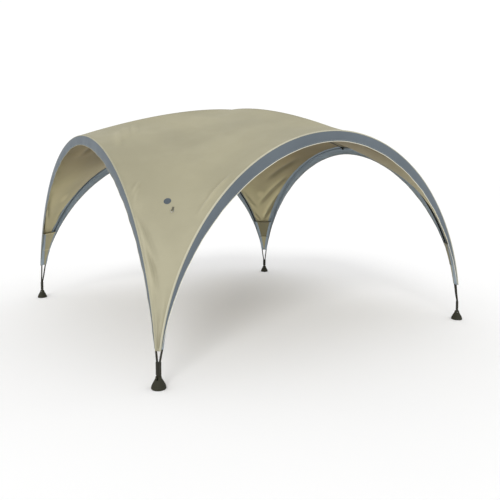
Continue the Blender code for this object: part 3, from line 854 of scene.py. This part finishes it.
def moulded_finish(name, tones, roughness, grain=420.0):
    """Moulded plastic or rubber: fine grain, and edges rubbed a little paler."""
    finish = Finish(name, roughness, Specular_IOR_Level=0.25)
    cloud = finish.noise(14.0, 4.0)
    edge = finish.add("ShaderNodeNewGeometry").outputs["Pointiness"]
    rubbed = finish.math("MULTIPLY", finish.limits(edge, 0.53, 0.62), 0.35)
    finish.colour(finish.blend(rubbed, finish.blend(cloud, *tones), darker(tones[1], 1.7)))
    finish.roughen(cloud, 0.3, 0.7, roughness - 0.08, roughness + 0.08)
    finish.bump(finish.noise(grain, 3.0), 0.00025, 0.5)
    return finish.material


def zinc_finish():
    """Zinc plate: bright metal with a fine spangle."""
    finish = Finish("zinc_plate", 0.32, Metallic=1.0, Anisotropic=0.3)
    spangle = finish.noise(160.0, 3.0)
    finish.colour(finish.blend(spangle, *ZINC_TONES))
    finish.roughen(spangle, 0.3, 0.7, 0.26, 0.42)
    finish.bump(finish.noise(700.0, 2.0), 0.00006, 0.4)
    return finish.material


def webbing_finish():
    """Narrow woven tape: ribs across it and a fine selvedge."""
    finish = Finish("loop_webbing", 0.8, Sheen_Weight=0.2, Sheen_Roughness=0.4)
    place = finish.axes(finish.place())
    ribs = yarns(finish, place[2], 0.0016)
    cords = yarns(finish, finish.math("SUBTRACT", place[0], place[1]), 0.003)
    web = finish.math("MULTIPLY", ribs, cords)
    finish.colour(finish.blend(web, *WEBBING_TONES))
    finish.bump(web, 0.0004, 0.8)
    return finish.material


def floor_finish():
    finish = Finish("floor_paint", 0.9, Specular_IOR_Level=0.1)
    finish.colour(finish.blend(finish.noise(0.8, 3.0), *FLOOR_TONES))
    return finish.material


ROOF = cloth_finish("roof_cloth", ROOF_COLOUR, grime=0.22, tones=PAINTED_HEIGHT_SHADE, painted_fold_shade=PAINTED_FOLD_SHADE)
# The roof's inside, with painted light low down, painted shade under the crown and painted shade and
# highlight on its folds
ROOF_INSIDE = cloth_finish(
    "roof_cloth_inside", INSIDE_COLOUR, tones=INSIDE_PAINTED_LIGHT_AND_SHADE, painted_fold_shade=INSIDE_PAINTED_FOLD_SHADE
)
PAINTED_HIGHLIGHT_BINDING = cloth_finish("binding_tape", BINDING_HIGHLIGHT_COLOUR, lines=(0.004, 0.014))
PLAIN_BINDING = cloth_finish("plain_binding_tape", darker(ROOF_COLOUR, 0.92), lines=(0.004, 0.014))
PIPING = cloth_finish("piping_tape", PIPING_COLOUR, weave=FINE_WEAVE)
PLAIN_PIPING = cloth_finish("plain_piping_tape", darker(ROOF_COLOUR, 0.66), weave=FINE_WEAVE)
SEAM_TAPE = cloth_finish("seam_tape", darker(ROOF_COLOUR, 0.88), lines=(0.003, 0.012))
HEM_TAPE = cloth_finish("hem_tape", darker(ROOF_COLOUR, 0.94), lines=(0.006, 0.017))
# The band's inner side, the facings and the sleeves are the band's grey made 3, 2.7 and 2.2 times lighter:
# painted light on these parts, which stand in shade
VALANCE, VALANCE_INSIDE_PAINTED_LIGHT, FACING_PAINTED_LIGHT, SLEEVE_PAINTED_LIGHT = [
    cloth_finish(name, darker(VALANCE_COLOUR, share), thread=GREY_THREAD, lines=lines)
    for name, share, lines in (
        ("valance_cloth", 1.0, (0.008, 0.013)),
        ("valance_inside_painted_light", 3.0, (0.008,)),
        ("facing_cloth_painted_light", 2.7, (0.004, 0.052)),
        ("sleeve_cloth_painted_light", 2.2, (0.018,)),
    )
]
POCKET_DARK = cloth_finish("pocket_cloth", darker(INSIDE_COLOUR, 0.66))
POCKET_LIGHT = cloth_finish("corner_panel_cloth", darker(INSIDE_COLOUR, 1.2))
# Pocket hems: the inside colour at 0.3, a painted shadow line along the hems
POCKET_HEM_PAINTED_SHADOW = cloth_finish("pocket_hem", darker(INSIDE_COLOUR, 0.30), lines=(0.004,))
LEG_STEEL = coated_steel_finish()
FIBREGLASS = fibreglass_finish()
DARK_PLASTIC = moulded_finish("dark_moulding", PLASTIC_TONES, 0.6)
FOOT_RUBBER = moulded_finish("foot_moulding", RUBBER_TONES, 0.75, grain=300.0)
BADGE_PLASTIC = moulded_finish("badge_moulding", BADGE_TONES, 0.55)
ZINC = zinc_finish()
WEBBING = webbing_finish()


def dress(obj, material, stands_for=(), second=None):
    """Gives a new piece its material and its body, and hides the nodes that it stands for."""
    obj.data.materials.append(material)
    if second:
        obj.data.materials.append(second)
    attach(obj, "frame")
    if stands_for:
        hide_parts(*stands_for)


# Canopy


def make_canopy(grids, fields):
    """The roof as one sheet: four quarters welded along the ridges."""
    quarters = []
    for k, (grid, field) in enumerate(zip(grids, fields)):
        piece = sheet_piece(f"quarter_{k}", grid, k)
        fold = piece.data.attributes.new("fold", "FLOAT", "POINT")
        fold.data.foreach_set("value", field.astype(np.float32).ravel())
        quarters.append(piece)
    canopy = join_pieces("canopy", quarters)
    thicken(canopy, lining=True)
    dress(canopy, ROOF, ["roof_" + corner for corner in CORNERS], ROOF_INSIDE)
    side = 2 * gaps(grids[0][:, 0], 0)[-1]
    return canopy, surface_area(canopy), side


def make_edge_strips(quarter, grid):
    """Raised binding over the roof's edge at each arch, and the strip of grey cloth inside it.

    The front arch's binding stands up more than the others, and is paler: painted highlight along its
    rounded edge.
    """
    bulge = np.sin(math.pi * np.linspace(0, 1, BINDING_COLUMNS)) ** 0.7
    facing_top = np.full(FACING_COLUMNS, FACING_TOP)
    for hand, from_left in EDGES:
        name = f"{CORNERS[quarter]}_{hand}"
        on_front_arch = SIDES[quarter - from_left] == "front"
        rise = FRONT_BINDING_RISE if on_front_arch else BINDING_RISE
        top = rise * bulge + BINDING_EDGE
        place = (grid, from_left, quarter)
        binding = strip_piece("binding_" + name, place, BINDING_WIDTH, top, BINDING_UNDER)
        dress(binding, PAINTED_HIGHLIGHT_BINDING if on_front_arch else PLAIN_BINDING)
        width = FACING_WIDTH if from_left else NARROW_WIDTH
        facing = strip_piece("facing_" + name, place, width, facing_top, FACING_UNDER)
        dress(facing, FACING_PAINTED_LIGHT)


def make_ridge_seam(name, quarters):
    """Felled seam over a ridge, sunk into the cloth at both sides."""
    end = ROOF_EDGE - SEAM_END_GAP
    distance = np.linspace(-end, end, RIDGE_POINTS)
    path = np.stack([np.zeros_like(distance), distance, ridge_height(np.abs(distance))], -1)
    up = in_plane_up(path, -POLE_NORMAL)
    up = up * np.sign(up[:, 2:])
    side = np.linspace(-1, 1, 9)
    height = SEAM_RISE - SEAM_FALL * np.abs(side) ** 1.6
    top = np.stack([SEAM_HALF_WIDTH * side, height], -1)
    under = [(sign * SEAM_HALF_WIDTH, SEAM_UNDER) for sign in (1, -1)]
    obj = sweep_piece(name, path, POLE_NORMAL, up, np.concatenate([top, under]), quarters)
    dress(obj, SEAM_TAPE)


def make_hem(quarter, grid):
    """Turned-up hem along the bottom of a corner."""
    up = unit(grid[-3] - grid[-1])
    path = grid[-1] + HEM_ABOVE_EDGE * up
    half, rise = HEM_HALF_WIDTH, HEM_RISE
    right = [(half * 0.5, rise), (half, rise * 0.6), (half, -rise)]
    left = [(-across, height) for across, height in reversed(right)]
    obj = sweep_piece(f"hem_{CORNERS[quarter]}", path, up, grid_normals(grid)[-1], left + right, quarter)
    dress(obj, HEM_TAPE)


# Valances


def valance_angles(quarter):
    start = arch_angle(HEM_HEIGHTS[quarter] + VALANCE_ABOVE_HEM)
    end = arch_angle(HEM_HEIGHTS[(quarter + 1) % 4] + VALANCE_ABOVE_HEM)
    return np.linspace(math.pi - start, end, ARCH_STEPS + 1)


def valance_grid(quarter):
    """The band from its seam to its free edge, bulging a little and rippled along the edge."""
    angles = valance_angles(quarter)
    upper = arch_points(angles, SEAM_OFFSET - VALANCE_TUCK, -ROOF_EDGE)
    lower = valance_low_points(angles)
    share = np.linspace(0, 1, VALANCE_COLUMNS)
    grid = between(upper, lower, VALANCE_COLUMNS)
    length = gaps(upper, 0)[:, None]
    width = lengths(upper - lower)[:, None] / VALANCE_FULL_WIDTH
    ripple = sum(rise * wave(length, pitch, turn * quarter) for rise, pitch, turn in VALANCE_RIPPLES)
    grid[..., 1] -= (VALANCE_BULGE * np.sin(math.pi * share) + ripple * share) * width
    return grid


def make_valance(quarter):
    grid = valance_grid(quarter)
    name = "valance_" + SIDES[quarter]
    width = gaps(grid, 1)
    uv = np.stack([np.broadcast_to(gaps(grid, 0)[:, :1], grid.shape[:2]), width[:, -1:] - width], -1)
    obj = mesh_piece(name + "_band", turned(grid, quarter), grid_quads(*grid.shape[:2]), uv)
    thicken(obj, lining=True)
    dress(obj, VALANCE, stands_for=[name], second=VALANCE_INSIDE_PAINTED_LIGHT)
    path = grid[:, -1]
    make_piping(quarter, path)


def make_piping(quarter, path):
    """Piping on a band's free edge, thin at both ends."""
    up = in_plane_up(path, ARCH_NORMAL)
    along = np.linspace(0, 1, len(path))
    from_end = np.minimum(along, 1 - along)
    taper = np.clip(from_end / PIPING_TAPER, PIPING_END_SHARE, 1) ** 0.5
    profile = circle(PIPING_RADIUS, PIPING_SIDES)
    pipe = sweep_piece(f"piping_{SIDES[quarter]}", path, ARCH_NORMAL, up, profile, quarter, taper)
    dress(pipe, PLAIN_PIPING if quarter else PIPING)


# Poles, legs and sleeves


def leg_path():
    """Centre line of a front arch's right leg: upright in its socket, spreading, on the arch."""
    angles = np.linspace(arch_angle(LEG_SPREAD_END), arch_angle(LEG_TOP - LEG_END_DROP), LEG_POINTS)
    foot = [(ARCH_HALF_SPAN, -ARCH_PLANE, height) for height in (LEG_BOTTOM, LEG_SPREAD_START)]
    return np.concatenate([foot, arch_points(angles)])


def make_legs(quarter):
    path = leg_path()
    for hand, sign in (("left", -1), ("right", 1)):
        node = f"leg_{SIDES[quarter]}_{hand}"
        tube = tube_piece("tube_" + node, path * (sign, 1, 1), LEG_RADIUS, quarter, wall=LEG_WALL)
        dress(tube, LEG_STEEL, stands_for=[node])
        make_leg_cover(quarter, hand, sign)


def make_leg_cover(quarter, hand, sign):
    """Cloth sleeve over a leg: up to the bow's sleeve, or to the pocket's top on the left leg."""
    corner = quarter if hand == "left" else (quarter + 1) % 4
    low = HEM_HEIGHTS[corner] + POCKET_ABOVE_HEM
    high = LEG_TOP + SLEEVE_ABOVE_LEG if hand == "right" else POCKET_TOP
    angles = np.linspace(arch_angle(low), arch_angle(high), COVER_POINTS)
    path = arch_points(angles) * (sign, 1, 1)
    cover = tube_piece(f"leg_cover_{SIDES[quarter]}_{hand}", path, LEG_COVER_RADIUS, quarter, wall=CLOTH)
    dress(cover, SLEEVE_PAINTED_LIGHT)


def make_sleeve(quarter):
    """Cloth sleeve round a bow, a little ruffled."""
    low = arch_angle(LEG_TOP + SLEEVE_ABOVE_LEG)
    path = arch_points(np.linspace(math.pi - low, low, ARCH_STEPS + 1))
    up = in_plane_up(path, ARCH_NORMAL)
    length = gaps(path, 0)
    ruffle = RUFFLE_SHARE * wave(length, RUFFLE_LENGTH, quarter) * wave(length, RUFFLE_SPACING, 0.5)
    size = SLEEVE_SHARE + ruffle
    profile = circle(SLEEVE_RADIUS - SLEEVE_INSET)
    sleeve = sweep_piece(f"sleeve_{SIDES[quarter]}_cloth", path, ARCH_NORMAL, up, profile, quarter, size)
    dress(sleeve, SLEEVE_PAINTED_LIGHT, stands_for=["sleeve_" + SIDES[quarter]])


def roof_pole_path(step):
    """Centre line of a roof pole; one pole steps down at the crown to pass under the other."""
    end = ARCH_PLANE - POLE_END_GAP
    distance = np.linspace(-end, end, RIDGE_POINTS)
    share = 1 - (distance / ROOF_EDGE) ** 2
    height = ridge_height(np.abs(distance)) - POLE_DROP - step * share
    return np.stack([np.zeros_like(distance), distance, height], -1)


def make_roof_pole(node, quarters, step):
    path = roof_pole_path(step)
    pole = tube_piece(node + "_rod", path, POLE_RADIUS, quarters, POLE_NORMAL)
    dress(pole, FIBREGLASS, stands_for=[node])
    length = gaps(path, 0)
    for i in FERRULE_JOINTS:
        middle = i * length[-1] / POLE_SECTIONS
        kept = path[np.abs(length - middle) < FERRULE_HALF_LENGTH]
        name = f"ferrule_{node}_{i}"
        ferrule = tube_piece(name, kept, FERRULE_RADIUS, quarters, POLE_NORMAL)
        dress(ferrule, ZINC)


# Corners


def pocket_rows(bottom, top, count, quarter, lift=0.0):
    """Cloth across a corner's two legs between two heights, sagging and pleated."""
    heights = np.linspace(bottom, top, count)
    leg = arch_points(math.pi - np.arcsin(heights / ARCH_RISE))
    near = leg - (POCKET_OFFSET + lift) * OUTWARD + POCKET_OVERLAP * TANGENT
    far = swap_sides(near)
    share = np.linspace(0, 1, POCKET_COLUMNS)[None]
    grid = between(near, far, POCKET_COLUMNS)
    width = lengths(near - far)[:, None]
    sag = POCKET_SAG * width * np.sin(math.pi * share) ** 1.5
    pleat = PLEAT_RISE * wave(share * width, PLEAT_LENGTH, quarter + heights[:, None] * PLEAT_LEAN)
    return grid - (sag + pleat)[..., None] * OUTWARD


def make_pocket(quarter):
    """A corner's pocket, with the panel under it, their hems and the facings along the legs."""
    corner = CORNERS[quarter]
    plain = corner == "back_left"
    bottom = HEM_HEIGHTS[quarter] + POCKET_ABOVE_HEM
    seam = bottom + (POCKET_TOP - bottom) * POCKET_SEAM_SHARE
    upper_grid = pocket_rows(seam, POCKET_TOP - POCKET_BELOW_TOP, POCKET_ROWS, quarter, POCKET_LIFT)
    lower_grid = pocket_rows(bottom, seam + PANEL_ABOVE_SEAM, PANEL_ROWS, quarter)
    upper = sheet_piece(f"pocket_{corner}_cloth", upper_grid, quarter)
    lower = sheet_piece(f"corner_panel_{corner}", lower_grid, quarter)
    thicken(upper, offset=0.0)
    thicken(lower, offset=0.0)
    dress(upper, POCKET_LIGHT if plain else POCKET_DARK, stands_for=["pocket_" + corner])
    dress(lower, POCKET_LIGHT)
    for label, row in (("top", upper_grid[-1, 1:-1]), ("seam", upper_grid[0, 1:-1])):
        out = unit(np.cross(unit(np.gradient(row, axis=0)), UP))
        hem = sweep_piece(f"pocket_hem_{label}_{corner}", row, UP, out, POCKET_HEM_PROFILE, quarter)
        dress(hem, ROOF_INSIDE if plain else POCKET_HEM_PAINTED_SHADOW)
    make_leg_facings(quarter, "pocket", upper_grid)
    make_leg_facings(quarter, "panel", lower_grid)


def make_leg_facings(quarter, label, grid):
    """Grey strips on a pocket or a panel, along both legs."""
    top = np.full(LEG_FACING_COLUMNS, LEG_FACING_RISE)
    for hand, from_left in EDGES:
        name = f"leg_facing_{label}_{CORNERS[quarter]}_{hand}"
        place = (grid, from_left, quarter)
        strip = strip_piece(name, place, LEG_FACING_WIDTH, top, -LEG_FACING_RISE)
        dress(strip, FACING_PAINTED_LIGHT)


# Outline of the badge from its centre to its rim, as shares of its radius: (out, up)
BADGE_PROFILE = (
    ((0.02, 0.030), (0.40, 0.032), (0.78, 0.036), (0.82, 0.060), (0.87, 0.075))
    + ((0.94, 0.072), (0.985, 0.050), (1.0, 0.015), (1.0, -0.04))
)


def make_badge(grid):
    """Plain disc with a raised rim, laid on the cloth."""
    distance = lengths(grid - BADGE_PLACE)
    row, column = np.unravel_index(distance.argmin(), distance.shape)
    centre, normal = grid[row, column], grid_normals(grid)[row, column]
    side = unit(np.cross(UP, normal))
    up = np.cross(normal, side)
    turns = np.linspace(0, 2 * math.pi, BADGE_SIDES, endpoint=False)
    outwards = np.cos(turns)[:, None] * side + np.sin(turns)[:, None] * up
    profile = BADGE_RADIUS * np.array(BADGE_PROFILE)
    points = centre + profile[:, :1, None] * outwards[None] + profile[:, 1:, None] * normal
    faces = grid_quads(*points.shape[:2], wrap_columns=True).tolist()
    faces.append(list(range(BADGE_SIDES)))
    obj = mesh_piece("badge_disc", points, faces)
    fix_normals(obj)
    dress(obj, BADGE_PLASTIC, stands_for=["badge"])


SMOOTH_ANGLE = math.radians(38)


def smooth_node(name, material, bevel=0.0):
    """Keeps a CAD node's shape, shaded smooth with soft edges, in a better material."""
    obj = frame["nodes"][name]
    obj.data.shade_smooth()
    obj.data.set_sharp_from_angle(angle=SMOOTH_ANGLE)
    if bevel:
        edges = obj.modifiers.new("Soft edges", "BEVEL")
        edges.width = bevel
        edges.segments = 2
        edges.limit_method = "ANGLE"
        edges.angle_limit = SMOOTH_ANGLE
        edges.harden_normals = True
    obj.data.materials.clear()
    obj.data.materials.append(material)


# Camera, light and floor

SKY_STRENGTH = 1.03
ZENITH_STRENGTH = 0.74


def make_camera():
    data = bpy.data.cameras.new("camera")
    data.sensor_width = 36.0
    data.lens = 38.06
    data.shift_x = 0.0362
    data.shift_y = -0.0637
    camera = add_object("camera", data)
    camera.location = (-3.326, -5.181, 1.514)
    camera.rotation_euler = (math.radians(85.74), 0.0, math.radians(-32.69))
    bpy.context.scene.camera = camera


def make_sun():
    data = bpy.data.lights.new("key", "SUN")
    data.energy = 1.25
    data.angle = math.radians(22.0)
    light = add_object("key", data)
    light.rotation_euler = Vector((0.62, 0.62, -0.48)).to_track_quat("-Z", "Y").to_euler()


def make_sky():
    """White studio dome, a little dimmer overhead than round the sides."""
    world = bpy.data.worlds.new("studio")
    world.use_nodes = True
    nodes, links = world.node_tree.nodes, world.node_tree.links
    place = nodes.new("ShaderNodeTexCoord")
    axes = nodes.new("ShaderNodeSeparateXYZ")
    fade = nodes.new("ShaderNodeMapRange")
    for socket, value in zip(fade.inputs[1:5], (0.4, 1.0, SKY_STRENGTH, ZENITH_STRENGTH)):
        socket.default_value = value
    links.new(place.outputs["Generated"], axes.inputs[0])
    links.new(axes.outputs["Z"], fade.inputs[0])
    links.new(fade.outputs[0], nodes["Background"].inputs["Strength"])
    nodes["Background"].inputs["Color"].default_value = (1.0, 1.0, 1.0, 1.0)
    bpy.context.scene.world = world


def make_studio():
    bpy.ops.mesh.primitive_plane_add(size=300.0, location=(0, 0, -0.0005))
    floor = bpy.context.object
    floor.name = "floor"
    floor.data.materials.append(floor_finish())
    make_sky()
    make_sun()
    bpy.context.scene.view_settings.view_transform = "Standard"


# The object

# CAD nodes that keep their shape: start of the name, places, material and width of soft edges
KEPT_NODES = (
    ("bow_", SIDES, FIBREGLASS, 0.0),
    ("saddle_", SIDES, DARK_PLASTIC, 0.0006),
    ("socket_", CORNERS, DARK_PLASTIC, 0.0006),
    ("foot_", CORNERS, FOOT_RUBBER, 0.0012),
    ("foot_pin_", CORNERS, ZINC, 0.0004),
    ("guy_ring_", CORNERS, ZINC, 0.0),
    ("guy_loop_", CORNERS, WEBBING, 0.0),
)

canopy_grids, canopy_fields = zip(*[canopy_grid(quarter) for quarter in range(4)])
canopy, canopy_area, canopy_side = make_canopy(canopy_grids, canopy_fields)
for quarter in range(4):
    make_edge_strips(quarter, canopy_grids[quarter])
    make_hem(quarter, canopy_grids[quarter])
    make_valance(quarter)
    make_legs(quarter)
    make_sleeve(quarter)
    make_pocket(quarter)
    for start, places, material, bevel in KEPT_NODES:
        smooth_node(start + places[quarter], material, bevel)
make_ridge_seam("ridge_seam_front_back", 0)
make_ridge_seam("ridge_seam_left_right", 1)
make_roof_pole(ROOF_POLES[0], 0, 0.0)
make_roof_pole(ROOF_POLES[1], 1, POLE_STEP)
smooth_node("crown_hub", DARK_PLASTIC, 0.0008)
make_badge(canopy_grids[0])
make_camera()
make_studio()
